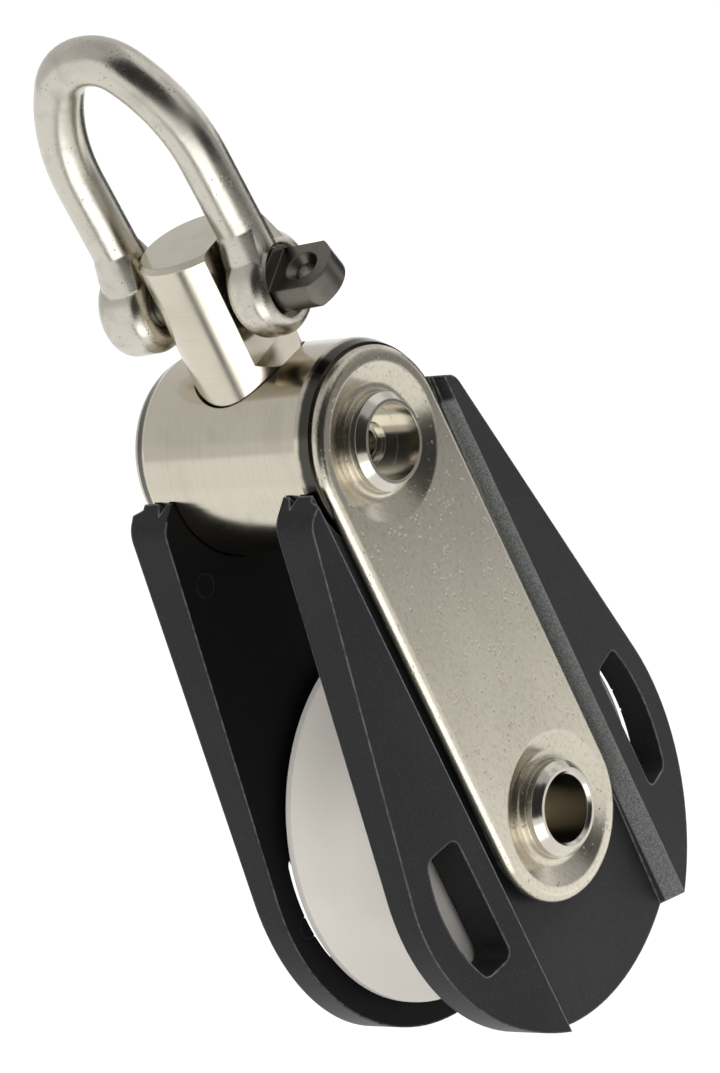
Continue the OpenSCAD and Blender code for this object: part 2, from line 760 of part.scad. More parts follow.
module shackle_pin() {
    face = ear_gap / 2 + ear_t;
    seat = face - pin_recess + slip;
    end = face + tab_len;
    tail = -ear_gap / 2 - screw_ear_t;
    color(polished) on_pin() rotate([tab_turn, 0, 0]) difference() {
        union() {
            translate([tail, 0, 0]) rotate([0, 90, 0]) cylinder(d = thread_root_d, h = seat - tail);
            translate([-ear_gap / 2, 0, 0]) rotate([0, 90, 0])
                cylinder(r = pin_r, h = seat + ear_gap / 2 + eps);
            intersection() {
                translate([seat, 0, 0]) rotate([0, 90, 0]) cylinder(d = pin_head_d, h = end - seat);
                translate([end - tab_end_r, 0, -tab_t]) union() {
                    cylinder(r = tab_end_r, h = 2 * tab_t);
                    translate([seat - end - 1, -pin_head_d, 0])
                        cube([end - seat - 1, 2 * pin_head_d, 2 * tab_t]);
                }
            }
        }
        for (side = [0, 1]) mirror([0, 0, side])
            translate([face - 2 * recess_bevel, -pin_head_d, tab_t / 2])
                cube([2 * tab_len, 2 * pin_head_d, tab_t]);
        translate([end - eye_in, 0, -tab_t]) cylinder(d = eye_d, h = 2 * tab_t);
        for (side = [0, 1]) mirror([0, 0, side])
            translate([end - eye_in, 0, tab_t / 2 - (eye_sink_d - eye_d) / 2])
                cylinder(d1 = eye_d, d2 = eye_sink_d + 0.1, h = (eye_sink_d - eye_d) / 2 + 0.05);
    }
}

shackle_bow();
shackle_pin();
swivel_post();
swivel_thrust_washer();
swivel_nut_washer();
swivel_nut();
swivel_lock_pin();
head_drum();
near_side_plate();
far_side_plate();
near_cheek();
far_cheek();
near_head_rivet();
far_head_rivet();
sheave_axle();
axle_sleeve();
near_thrust_washer();
far_thrust_washer();
sheave_bush();
sheave();
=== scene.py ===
import json
import math

import bpy
from bpy.props import FloatProperty, FloatVectorProperty, PointerProperty
from mathutils import Matrix, Quaternion, Vector


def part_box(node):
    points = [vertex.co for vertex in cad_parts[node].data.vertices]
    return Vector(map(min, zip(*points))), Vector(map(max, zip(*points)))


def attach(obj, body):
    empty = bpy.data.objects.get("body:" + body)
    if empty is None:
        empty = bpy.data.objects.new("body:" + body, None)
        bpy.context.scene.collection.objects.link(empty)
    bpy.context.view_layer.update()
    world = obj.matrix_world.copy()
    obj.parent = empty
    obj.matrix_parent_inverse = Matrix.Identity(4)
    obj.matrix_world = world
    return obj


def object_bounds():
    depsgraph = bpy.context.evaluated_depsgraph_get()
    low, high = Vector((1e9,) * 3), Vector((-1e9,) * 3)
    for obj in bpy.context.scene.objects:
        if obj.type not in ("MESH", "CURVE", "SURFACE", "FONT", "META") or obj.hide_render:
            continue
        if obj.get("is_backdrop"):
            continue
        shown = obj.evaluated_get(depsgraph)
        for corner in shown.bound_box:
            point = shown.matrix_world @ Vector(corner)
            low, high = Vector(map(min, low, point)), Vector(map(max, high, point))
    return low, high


bl_info = {
    "name": "Swivel block dresser",
    "version": (1, 0, 0),
    "blender": (4, 5, 0),
    "location": "3D View > Sidebar > Block",
    "description": "Finishes, thread and studio for a single swivel pulley block",
    "category": "Object",
}

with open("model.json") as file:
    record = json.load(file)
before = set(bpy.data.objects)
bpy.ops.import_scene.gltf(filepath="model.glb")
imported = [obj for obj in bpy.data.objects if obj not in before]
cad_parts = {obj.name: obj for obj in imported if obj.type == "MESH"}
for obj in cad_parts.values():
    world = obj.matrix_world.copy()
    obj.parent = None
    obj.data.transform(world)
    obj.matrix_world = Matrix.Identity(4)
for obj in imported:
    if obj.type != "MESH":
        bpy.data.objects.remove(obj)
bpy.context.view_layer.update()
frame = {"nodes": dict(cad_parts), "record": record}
MM = 0.001


def joint(name):
    """The row's joint of that name."""
    return next(j for j in frame["record"]["behaviour"]["joints"] if j["name"] == name)


def rgb(red, green, blue):
    """A colour given as 0-255 display values, as the shader's linear light."""
    def linear(v):
        v /= 255
        return v / 12.92 if v <= 0.04045 else ((v + 0.055) / 1.055) ** 2.4
    return (linear(red), linear(green), linear(blue), 1.0)


def grey(value):
    """A grey, in linear light."""
    return (value, value, value, 1.0)


def shade_of(colour, share):
    """The colour made darker, or lighter with a share over 1."""
    return (*(c * share for c in colour[:3]), 1.0)


# Node trees.


class Wire:
    """An output of a node; where it carries a number, masks are written as sums."""

    def __init__(self, builder, socket):
        self.builder, self.socket = builder, socket

    def _math(self, operation, *values):
        return self.builder.add("ShaderNodeMath", {"operation": operation}, *values)

    def __add__(self, other):
        return self._math("ADD", self, other)

    def __sub__(self, other):
        return self._math("SUBTRACT", self, other)

    def __rsub__(self, other):
        return self._math("SUBTRACT", other, self)

    def __mul__(self, other):
        return self._math("MULTIPLY", self, other)

    def __abs__(self):
        return self._math("ABSOLUTE", self)

    __radd__, __rmul__ = __add__, __mul__

    def sqrt(self):
        return self._math("SQRT", self)

    def highest(self, other):
        return self._math("MAXIMUM", self, other)

    def fade(self, start, end):
        """0 before start, 1 past end, and smooth between; start may be the larger."""
        return self.builder.add("ShaderNodeMapRange", {"interpolation_type": "SMOOTHSTEP"},
                                Value=self, From_Min=start, From_Max=end)

    def band(self, centre, half, soft):
        """1 within half of the centre, fading to 0 over soft."""
        return abs(self - centre).fade(half + soft, half)


class Builder:
    """Adds nodes to a tree, for materials, the world and geometry alike."""

    def __init__(self, tree):
        self.tree = tree

    def fill(self, socket, value):
        """Links a socket to another one or sets its value."""
        if isinstance(value, Wire):
            value = value.socket
        if isinstance(value, bpy.types.NodeSocket):
            self.tree.links.new(value, socket)
        else:
            socket.default_value = value

    def node(self, kind, settings=None, *values, **named):
        """Adds a node: its settings first, then its sockets by order or by name."""
        node = self.tree.nodes.new(kind)
        for key, value in (settings or {}).items():
            setattr(node, key, value)
        for socket, value in zip(node.inputs, values):
            self.fill(socket, value)
        for key, value in named.items():
            self.fill(node.inputs[key.replace("_", " ")], value)
        return node

    def add(self, kind, settings=None, *values, **named):
        """Adds a node and gives its first output as a Wire."""
        return Wire(self, self.node(kind, settings, *values, **named).outputs[0])

    def seen(self):
        """1 for rays from the camera, off metal or through glass, 0 for light that is cast."""
        rays = self.node("ShaderNodeLightPath").outputs
        camera, glossy, through = (Wire(self, rays["Is %s Ray" % ray])
                                   for ray in ("Camera", "Glossy", "Transmission"))
        return camera.highest(glossy).highest(through)


class Finish(Builder):
    """A node material built round one Principled shader."""

    # The Mix node's sockets for colours.
    MIX_FACTOR, MIX_FIRST, MIX_SECOND, MIX_RESULT = 0, 6, 7, 2

    def __init__(self, name, **constants):
        old = bpy.data.materials.get(name)
        if old:
            bpy.data.materials.remove(old)
        self.material = bpy.data.materials.new(name)
        self.material.use_nodes = True
        super().__init__(self.material.node_tree)
        self.shader = self.tree.nodes["Principled BSDF"]
        self.place = self.node("ShaderNodeTexCoord").outputs["Object"]
        for socket, value in constants.items():
            self.put(socket.replace("_", " "), value)

    def put(self, socket, value):
        """Sets or links one of the shader's sockets."""
        self.fill(self.shader.inputs[socket], value)

    def scaled(self, x, y=None, z=None):
        """Object coordinates in patterns a metre, stretched if y and z are given."""
        scale = (x, x if y is None else y, x if z is None else z)
        return self.node("ShaderNodeMapping", {"vector_type": "POINT"}, self.place,
                         Scale=scale).outputs[0]

    def axes(self):
        """The three object coordinates, in millimetres."""
        node = self.node("ShaderNodeSeparateXYZ", None, self.place)
        return [Wire(self, socket) * 1000 for socket in node.outputs]

    def noise(self, where, detail=2.0, rough=0.5, warp=0.0):
        """Clouds that lie round 0.5."""
        return self.add("ShaderNodeTexNoise", {"noise_dimensions": "3D"}, Vector=where,
                        Scale=1.0, Detail=detail, Roughness=rough, Distortion=warp)

    def dots(self, where):
        """Distance to the nearest of many scattered points."""
        return self.add("ShaderNodeTexVoronoi", {"feature": "F1"}, Vector=where, Scale=1.0)

    def blend(self, factor, first, second):
        """Mixes two colours, each a constant or a socket."""
        node = self.node("ShaderNodeMix", {"data_type": "RGBA"})
        for index, value in ((self.MIX_FACTOR, factor), (self.MIX_FIRST, first),
                             (self.MIX_SECOND, second)):
            self.fill(node.inputs[index], value)
        return node.outputs[self.MIX_RESULT]

    def ease_edges(self, radius):
        """The surface's normal with its sharp edges rounded, for shading alone."""
        return self.node("ShaderNodeBevel", {"samples": 4}, Radius=radius).outputs[0]

    def edge_mask(self, rounded):
        """Near 1 on sharp outer edges, which are lightened partly as wear from handling and partly
        as a painted highlight.
        """
        true = self.node("ShaderNodeNewGeometry").outputs["Normal"]
        dot = self.node("ShaderNodeVectorMath", {"operation": "DOT_PRODUCT"}, rounded, true)
        return 1 - Wire(self, dot.outputs["Value"])

    def relief(self, height, distance, normal=None):
        """Bump in metres of depth, fed to the shader's normal."""
        bump = self.node("ShaderNodeBump", None, Strength=1.0, Distance=distance, Height=height)
        if normal is not None:
            self.fill(bump.inputs["Normal"], normal)
        self.put("Normal", bump.outputs[0])


def dress(nodes, finish):
    """Gives CAD nodes one finish."""
    for name in nodes:
        slots = frame["nodes"][name].data.materials
        slots.clear()
        slots.append(finish.material)


# What a user would change.


def colour_of(name, description, default):
    """A colour that a user may change."""
    return FloatVectorProperty(name=name, description=description, subtype="COLOR", size=4,
                               min=0, max=1, default=default)


def length_of(name, description, default, lowest=0.0):
    """A length in metres that a user may change."""
    return FloatProperty(name=name, description=description, default=default, min=lowest,
                         unit="LENGTH")


def angle_of(name, description, degrees):
    """An angle that a user may change; it is given in degrees and kept in radians."""
    return FloatProperty(name=name, description=description, default=math.radians(degrees),
                         subtype="ANGLE", unit="ROTATION")


class SteelSettings(bpy.types.PropertyGroup):
    """Colours and wear of the block's steel parts"""
    tint: colour_of("Steel tint", "Reflected colour of the satin steel", rgb(208, 201, 185))
    polish_tint: colour_of("Polished tint", "Colour of the polished steel", rgb(205, 200, 188))
    pit_depth: length_of("Pit depth", "Depth of the orange peel in the side plates", 0.03 * MM)


class PlasticSettings(bpy.types.PropertyGroup):
    """Colours of the moulded parts"""
    cheek: colour_of("Cheek", "Colour of the moulded cheeks", rgb(29, 29, 31))
    # Colour for the cheeks' edges, lightened partly as wear and partly as a painted highlight.
    wear_and_highlight: colour_of("Worn edge", "Colour of the cheeks' rubbed edges", rgb(135, 135, 131))
    sheave: colour_of("Sheave", "Colour of the sheave", rgb(234, 230, 222))


class ThreadSettings(bpy.types.PropertyGroup):
    """Sizes of the screw thread on the shackle pin"""
    root: length_of("Root radius", "Radius at the foot of the thread", 3.55 * MM, 1 * MM)
    crest: length_of("Crest radius", "Radius over the thread", 4.18 * MM, 1 * MM)
    pitch: length_of("Pitch", "Rise of the thread in one turn", 1.25 * MM, 0.2 * MM)
    turns: FloatProperty(name="Turns", description="Number of turns", default=6.8, min=1)
    tail: length_of("Tail", "Distance of the thread's end from the swivel's axis", 20.2 * MM)


class StudioSettings(bpy.types.PropertyGroup):
    """Camera and floor"""
    azimuth: angle_of("Azimuth", "Camera's place round the block", 136.39)
    elevation: angle_of("Elevation", "Camera's height over the block", 23.84)
    roll: angle_of("Roll", "Camera's roll about its own view", -25.66)
    distance: length_of("Distance", "From the camera to what it looks at", 0.896, 0.1)
    lens: FloatProperty(name="Lens", default=165.63, min=10, unit="CAMERA",
                        description="Focal length")
    floor_drop: length_of("Floor drop", "Height of the hung block over the floor", 0.6)


# Finishes. Patterns are counted in each metre, and masks are measured in millimetres.

# Painted shade: near black at the drum's ends, where it meets the side plates.
SEAM_PAINTED_SHADE = (0.02, 0.02, 0.018, 1.0)
# Painted light: a pale grey laid on the channel's leaning walls, for the light they catch.
WALL_PAINTED_LIGHT = (0.24, 0.25, 0.24, 1.0)
# Painted shade: near black for the cheeks' inner faces, facing each other between the cheeks.
INSIDE_PAINTED_SHADE = (0.0008, 0.0008, 0.001, 1.0)
DRUM_END = 2.2  # width of the drum's ends, darkened with painted shade


def satin_steel(name, tint, rough):
    """Rolled sheet: fine peel and pits, a slow drift in its gloss."""
    f = Finish(name, Metallic=1.0, Base_Color=tint, Anisotropic=0.25)
    drift = f.noise(f.scaled(60, 60, 35), detail=3)
    peel = f.noise(f.scaled(1700, 1700, 800), detail=3, rough=0.6)
    spots = f.noise(f.scaled(520, 520, 330), detail=3).fade(0.48, 0.62)
    pits = f.dots(f.scaled(1150, 1150, 700)).fade(0.33, 0.1) * spots
    f.put("Roughness", rough + 0.1 * (drift - 0.5) + 0.06 * (peel - 0.5) + 0.15 * pits)
    shade = 0.5 * pits + 0.2 * drift.fade(0.42, 0.75) + 0.35 * peel.fade(0.45, 0.75)
    f.put("Base Color", f.blend(shade, tint, shade_of(tint, 0.55)))
    depth = bpy.context.scene.block_steel.pit_depth
    f.relief(0.5 * peel - 1.2 * pits, depth, f.ease_edges(0.6 * MM))
    return f


def turned_steel(name, tint, axis, rough, line=0.004 * MM, seam=None):
    """Lathe-turned steel, its fine rings across its axis; past the seam, in mm, it darkens with
    painted shade.
    """
    f = Finish(name, Metallic=1.0, Base_Color=tint, Anisotropic=0.4)
    fine, wide = (f.noise(f.scaled(*(step if a == axis else 12 for a in "xyz")), rough=0.6)
                  for step in (9000, 2600))
    smear = f.noise(f.scaled(110), detail=4, rough=0.6, warp=0.5)
    f.put("Roughness", rough + 0.08 * (fine - 0.5) + 0.12 * (smear - 0.5))
    shade = 0.3 * wide.fade(0.45, 0.8) + 0.35 * smear.fade(0.45, 0.75)
    colour = f.blend(shade, tint, shade_of(tint, 0.78))
    if seam:
        depth = abs(f.axes()["xyz".index(axis)]) + smear
        # Painted shade: past the seam the colour darkens towards the part's end.
        colour = f.blend(0.9 * depth.fade(seam + 0.5, seam + 1.2), colour, SEAM_PAINTED_SHADE)
    f.put("Base Color", colour)
    f.relief(fine, line, f.ease_edges(0.2 * MM))
    return f


def tumbled_steel(name, tint, rough, depth):
    """Forged and tumbled bar: soft hollows, a fine grain and pits."""
    f = Finish(name, Metallic=1.0, Base_Color=tint)
    hollows = f.noise(f.scaled(260), detail=3, warp=0.4)
    grain = f.noise(f.scaled(3600), detail=3, rough=0.65)
    pits = f.dots(f.scaled(900)).fade(0.24, 0.08) * f.noise(f.scaled(240)).fade(0.46, 0.62)
    f.put("Roughness", rough + 0.14 * (hollows - 0.5) + 0.1 * (grain - 0.5) + 0.2 * pits)
    shade = 0.8 * pits + 0.35 * hollows.fade(0.45, 0.75) + 0.3 * grain.fade(0.5, 0.75)
    f.put("Base Color", f.blend(shade, tint, shade_of(tint, 0.6)))
    f.relief(0.35 * hollows + 0.5 * grain - 0.4 * pits, depth, f.ease_edges(0.5 * MM))
    return f


# Where the cheeks are marked, measured from the axle.
WALL_X, WALL_HALF = 20.0, 0.8  # middle and half width of the channel's leaning walls
WALL_LOW, WALL_HIGH = 4.2, 3.6  # below the cheek's highest face, where the walls' painted light sets in
HORN_Z = 75.0  # above it the horns' tips carry no painted light
PARTING_Y = 15.7  # the mould's parting line round the rim
PARTING_START, PARTING_FULL = 30, 36  # distances from the axle
RIM, RIM_SOFT = 38.6, 0.6  # the inner face as far as its outer edge, which is lightened partly as wear and partly as a painted highlight
RIM_TAPER = 0.21  # how much that edge closes in for each millimetre toward the head


def cheek_moulding():
    """Black moulding with a fine grain, edges lightened partly by rubbing and partly as a painted
    highlight, painted light on the channel walls, painted shade on the inner faces and a parting
    line.
    """
    colours = bpy.context.scene.block_plastic
    tone = tuple(colours.cheek)
    f = Finish("cheek moulding", Base_Color=tone, Specular_IOR_Level=0.22)
    x, y, z = f.axes()
    depths = [abs(corner.y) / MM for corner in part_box("near_cheek")]
    inner, outer = min(depths), max(depths)
    grain = f.noise(f.scaled(2600), rough=0.7)
    speck = f.dots(f.scaled(1500)).fade(0.3, 0.1)
    cloud = f.noise(f.scaled(45), detail=3)
    rubs = f.noise(f.scaled(700)).fade(0.35, 0.6)
    rounded = f.ease_edges(0.5 * MM)

    # Mask of the channel's leaning walls, where painted light is laid.
    walls = (abs(x).band(WALL_X, WALL_HALF, 0.15) * abs(y).fade(outer - WALL_LOW, outer - WALL_HIGH)
             * z.fade(HORN_Z + 1, HORN_Z))
    inside = abs(y).fade(inner + 0.5, inner + 0.1)
    below = (0 - z).highest(0)
    reach = (abs(x) + RIM_TAPER * z).highest((x * x + below * below).sqrt())
    # Edges lightened partly as wear and partly as a painted highlight, in patches.
    wear_and_highlight = f.edge_mask(rounded).fade(0.006, 0.045) * (0.45 + 0.55 * rubs)
    wear_and_highlight = wear_and_highlight * (1 - inside * reach.fade(RIM + RIM_SOFT, RIM))

    base = f.blend(0.2 * cloud.fade(0.35, 0.7) + 0.6 * speck, tone, shade_of(tone, 3.2))
    # Painted light on the channel's leaning walls.
    base = f.blend(walls * (0.5 + 0.5 * grain.fade(0.4, 0.6)), base, WALL_PAINTED_LIGHT)
    # Painted shade on the inner faces.
    base = f.blend(0.95 * inside, base, INSIDE_PAINTED_SHADE)
    f.put("Base Color", f.blend(0.8 * wear_and_highlight, base, tuple(colours.wear_and_highlight)))
    f.put("Roughness",
          0.46 + 0.12 * (grain - 0.5) + 0.1 * (cloud - 0.5) - 0.12 * wear_and_highlight + 0.3 * inside)
    from_axle = (x * x + z * z).sqrt()
    parting = abs(y).band(PARTING_Y, 0.02, 0.06) * from_axle.fade(PARTING_START, PARTING_FULL)
    f.relief(grain - 2.5 * parting, 0.02 * MM, rounded)
    return f


def sheave_moulding():
    """Off-white plastic with faint rings, cloudy grime and a few specks."""
    tone = tuple(bpy.context.scene.block_plastic.sheave)
    f = Finish("sheave moulding", Base_Color=tone, Subsurface_Weight=0.15,
               Subsurface_Radius=(0.003, 0.0025, 0.002))
    rings = f.noise(f.scaled(40, 6000, 40))
    cloud = f.noise(f.scaled(50), detail=4)
    specks = f.dots(f.scaled(260)).fade(0.06, 0.02)
    grime = 0.35 * cloud.fade(0.45, 0.8) + 0.6 * specks
    f.put("Base Color", f.blend(grime, tone, shade_of(tone, 0.82)))
    f.put("Roughness", 0.42 + 0.1 * (cloud - 0.5) + 0.06 * (rings - 0.5))
    f.relief(rings + 0.4 * cloud, 0.012 * MM, f.ease_edges(0.3 * MM))
    return f


def nylon():
    """Pale washers with a faint mottle."""
    f = Finish("washer nylon", Subsurface_Weight=0.1)
    cloud = f.noise(f.scaled(300), detail=3)
    f.put("Base Color", f.blend(cloud, rgb(222, 220, 214), rgb(203, 200, 192)))
    f.put("Roughness", 0.4 + 0.1 * cloud)
    f.relief(cloud, 0.01 * MM)
    return f


# Geometry Nodes.

THREAD_INPUTS = {"Root radius": "NodeSocketFloat", "Crest radius": "NodeSocketFloat",
                 "Pitch": "NodeSocketFloat", "Turns": "NodeSocketFloat",
                 "Place": "NodeSocketVector", "Turn": "NodeSocketRotation"}
FOOT_SHARE, CREST_SHARE = 0.86, 0.14  # widths of the ridge, as shares of the pitch


def thread_tree(material):
    """A screw thread wound on a cylinder: one ridge swept along a spiral."""
    tree = bpy.data.node_groups.new("screw thread", "GeometryNodeTree")
    tree.interface.new_socket("Geometry", in_out="OUTPUT", socket_type="NodeSocketGeometry")
    for name, kind in THREAD_INPUTS.items():
        tree.interface.new_socket(name, in_out="INPUT", socket_type=kind)
    b = Builder(tree)
    given = b.node("NodeGroupInput").outputs
    root, crest, pitch, turns = (Wire(b, given[name]) for name in
                                 ("Root radius", "Crest radius", "Pitch", "Turns"))
    middle = (root + crest) * 0.5
    spiral = b.add("GeometryNodeCurveSpiral", None, Resolution=48, Rotations=turns,
                   Start_Radius=middle, End_Radius=middle, Height=pitch * turns)
    upright = b.add("GeometryNodeSetCurveNormal", {"mode": "Z_UP"}, Curve=spiral)
    ridge = b.add("GeometryNodeCurvePrimitiveQuadrilateral", {"mode": "TRAPEZOID"},
                  Height=crest - root, Bottom_Width=pitch * FOOT_SHARE,
                  Top_Width=pitch * CREST_SHARE, Offset=0.0)
    outward = b.add("GeometryNodeTransform", None, Geometry=ridge,
                    Rotation=(0, 0, math.radians(90)))
    sweep = b.add("GeometryNodeCurveToMesh", None, Curve=upright, Profile_Curve=outward,
                  Fill_Caps=True)
    placed = b.add("GeometryNodeTransform", None, Geometry=sweep, Translation=given["Place"],
                   Rotation=given["Turn"])
    real = b.add("GeometryNodeRealizeInstances", None, Geometry=placed)
    dressed = b.add("GeometryNodeSetMaterial", None, Geometry=real, Material=material)
    b.node("NodeGroupOutput", None, dressed)
    return tree


# The operators.


class BLOCK_OT_finish_plates(bpy.types.Operator):
    """Gives the two side plates their rolled and pressed steel finish"""
    bl_idname = "block.finish_plates"
    bl_label = "Side plates"

    def execute(self, context):
        tint = tuple(context.scene.block_steel.tint)
        dress(["near_side_plate", "far_side_plate"],
              satin_steel("pressed plate steel", tint, rough=0.24))
        return {"FINISHED"}


class BLOCK_OT_finish_drum(bpy.types.Operator):
    """Gives the head drum and the axle's sleeve their turned finish"""
    bl_idname = "block.finish_drum"
    bl_label = "Head drum"

    def execute(self, context):
        tint = tuple(context.scene.block_steel.tint)
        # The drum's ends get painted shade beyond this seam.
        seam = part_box("head_drum")[1].y / MM - DRUM_END
        dress(["head_drum"], turned_steel("drum steel", tint, "y", rough=0.17, seam=seam))
        dress(["axle_sleeve"], turned_steel("sleeve steel", tint, "y", rough=0.22))
        return {"FINISHED"}


class BLOCK_OT_finish_rivets(bpy.types.Operator):
    """Gives the rivets and the hollow axle their polished, turned finish"""
    bl_idname = "block.finish_rivets"
    bl_label = "Rivets and axle"

    def execute(self, context):
        tint = tuple(context.scene.block_steel.polish_tint)
        dress(["near_head_rivet", "far_head_rivet", "sheave_axle"],
              turned_steel("rivet steel", tint, "y", rough=0.18, line=0.003 * MM))
        return {"FINISHED"}


class BLOCK_OT_finish_post(bpy.types.Operator):
    """Gives the swivel post its turned finish"""
    bl_idname = "block.finish_post"
    bl_label = "Swivel post"

    def execute(self, context):
        tint = tuple(context.scene.block_steel.tint)
        dress(["swivel_post"],
              turned_steel("post steel", tint, "z", rough=0.2, line=0.002 * MM))
        return {"FINISHED"}


class BLOCK_OT_finish_swivel(bpy.types.Operator):
    """Finishes the nut, its lock pin, the washers inside the head and the sheave's bush"""
    bl_idname = "block.finish_swivel"
    bl_label = "Swivel fittings"

    def execute(self, context):
        dress(["swivel_nut", "swivel_nut_washer", "swivel_lock_pin"],
              tumbled_steel("zinc steel", rgb(176, 176, 174), rough=0.38, depth=0.02 * MM))
        dress(["swivel_thrust_washer", "sheave_bush"],
              turned_steel("bronze", rgb(196, 150, 92), "y", rough=0.34))
        return {"FINISHED"}


class BLOCK_OT_finish_shackle(bpy.types.Operator):
    """Gives the shackle and its pin their forged and tumbled finish"""
    bl_idname = "block.finish_shackle"
    bl_label = "Shackle and pin"

    def execute(self, context):
        tint = tuple(context.scene.block_steel.polish_tint)
        dress(["shackle_bow"],
              tumbled_steel("shackle steel", tint, rough=0.24, depth=0.05 * MM))
        dress(["shackle_pin"],
              tumbled_steel("pin steel", rgb(112, 108, 101), rough=0.3, depth=0.03 * MM))
        return {"FINISHED"}


class BLOCK_OT_pin_thread(bpy.types.Operator):
    """Winds the screw thread on the shackle pin's tail"""
    bl_idname = "block.pin_thread"
    bl_label = "Pin thread"

    def execute(self, context):
        sizes = context.scene.block_thread
        finish = tumbled_steel("thread steel", rgb(190, 182, 168), rough=0.3, depth=0.01 * MM)
        tree = thread_tree(finish.material)
        axis = Vector(joint("pin_withdraw")["axis"]).normalized()
        place = Vector((0, 0, joint("shackle_swing")["pos_m"][2])) - axis * sizes.tail
        given = {"Root radius": sizes.root, "Crest radius": sizes.crest, "Pitch": sizes.pitch,
                 "Turns": sizes.turns, "Place": place,
                 "Turn": axis.to_track_quat("Z", "Y").to_euler()}
        seed = bpy.data.objects.new("thread seed", bpy.data.meshes.new("thread seed"))
        context.collection.objects.link(seed)
        modifier = seed.modifiers.new("Thread", "NODES")
        modifier.node_group = tree
        for item in tree.interface.items_tree:
            if item.in_out == "INPUT":
                modifier[item.identifier] = given[item.name]
        context.view_layer.update()
        wound = seed.evaluated_get(context.evaluated_depsgraph_get())
        mesh = bpy.data.meshes.new_from_object(wound)
        mesh.name = "pin_thread"
        if not mesh.polygons:
            raise RuntimeError("the thread came out empty")
        seed.modifiers.remove(modifier)
        bpy.data.objects.remove(seed)
        thread = bpy.data.objects.new("pin_thread", mesh)
        context.collection.objects.link(thread)
        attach(thread, "pin")
        return {"FINISHED"}


class BLOCK_OT_finish_cheeks(bpy.types.Operator):
    """Gives the moulded cheeks their grained black finish"""
    bl_idname = "block.finish_cheeks"
    bl_label = "Cheeks"

    def execute(self, context):
        dress(["near_cheek", "far_cheek"], cheek_moulding())
        return {"FINISHED"}


class BLOCK_OT_finish_sheave(bpy.types.Operator):
    """Gives the sheave and its washers their pale plastic finishes"""
    bl_idname = "block.finish_sheave"
    bl_label = "Sheave"

    def execute(self, context):
        dress(["sheave"], sheave_moulding())
        dress(["near_thrust_washer", "far_thrust_washer"], nylon())
        return {"FINISHED"}


# The studio. Bearings run from +X round to +Y, in degrees.


def toward(azimuth, elevation):
    """The direction at that bearing and that height."""
    az, el = math.radians(azimuth), math.radians(elevation)
    return Vector((math.cos(az) * math.cos(el), math.sin(az) * math.cos(el), math.sin(el)))


LOOKS_AT = Vector((-8.2, -2.1, 55.3)) * MM
MIDDLE = Vector((0, 0, 0.05))
CAST_LIGHT = 0.5  # the world's strength on what isn't looked at
FLOOR_HALF = 4.0
FLOOR_GLOW, FLOOR_SHADE = 0.95, 0.75  # the floor's own white, and how far its shadow is weakened

# Name, bearing and height it shines from, distance, width, height, watts, seen in metal.
LAMPS = (
    ("foot lamp", 38, -24, 0.6, 0.54, 0.3, 0.72, True),
    ("left lamp", -30, -20, 0.6, 0.5, 0.5, 0.25, False),
    ("right lamp", 150, 25, 0.6, 0.5, 0.5, 3.6, False),
    ("top lamp", 60, 60, 0.55, 0.5, 0.5, 1.3, False),
)
# Name, grey at its foot and at its head, distance, corners by bearing and height.
CARDS = (
    ("camera card", 0.02, 0.04, 1.0,
     ((22, 5), (20, 34), (38, 52), (74, 56), (110, 46), (112, 20), (66, 3))),
    ("leg card", 0.03, 0.05, 0.3, ((72, -9), (72, 14), (96, 24), (122, 22), (122, -9))),
    ("flank card", 0.42, 0.42, 0.31, ((122, -8), (122, 24), (152, 22), (152, -8))),
    ("thin card", 0.03, 0.03, 0.5, ((-4, -42), (-4, -4), (8, -4), (8, -42))),
    ("plate card", 1.6, 0.1, 0.5, ((120, -44), (120, -12), (148, -12), (148, -44))),
    ("dish card", 0.6, 0.6, 0.5, ((118, -12), (118, 30), (156, 30), (156, -12))),
    ("ear card", 0.04, 0.04, 0.6, ((164, -44), (164, -8), (176, -4), (204, -6), (204, -42))),
    ("left card", 0.66, 0.6, 0.9,
     ((-84, 32), (-84, 60), (-50, 66), (-16, 58), (-14, 31), (-50, 31))),
    ("back card", 0.7, 0.62, 1.3,
     ((170, 4), (170, 46), (230, 52), (290, 46), (320, 22), (290, 6), (230, 4))),
    ("sky card", 0.55, 0.55, 1.4,
     ((170, 46), (140, 40), (100, 30), (60, 36), (20, 36), (-30, 40), (-70, 56), (-130, 52))),
)


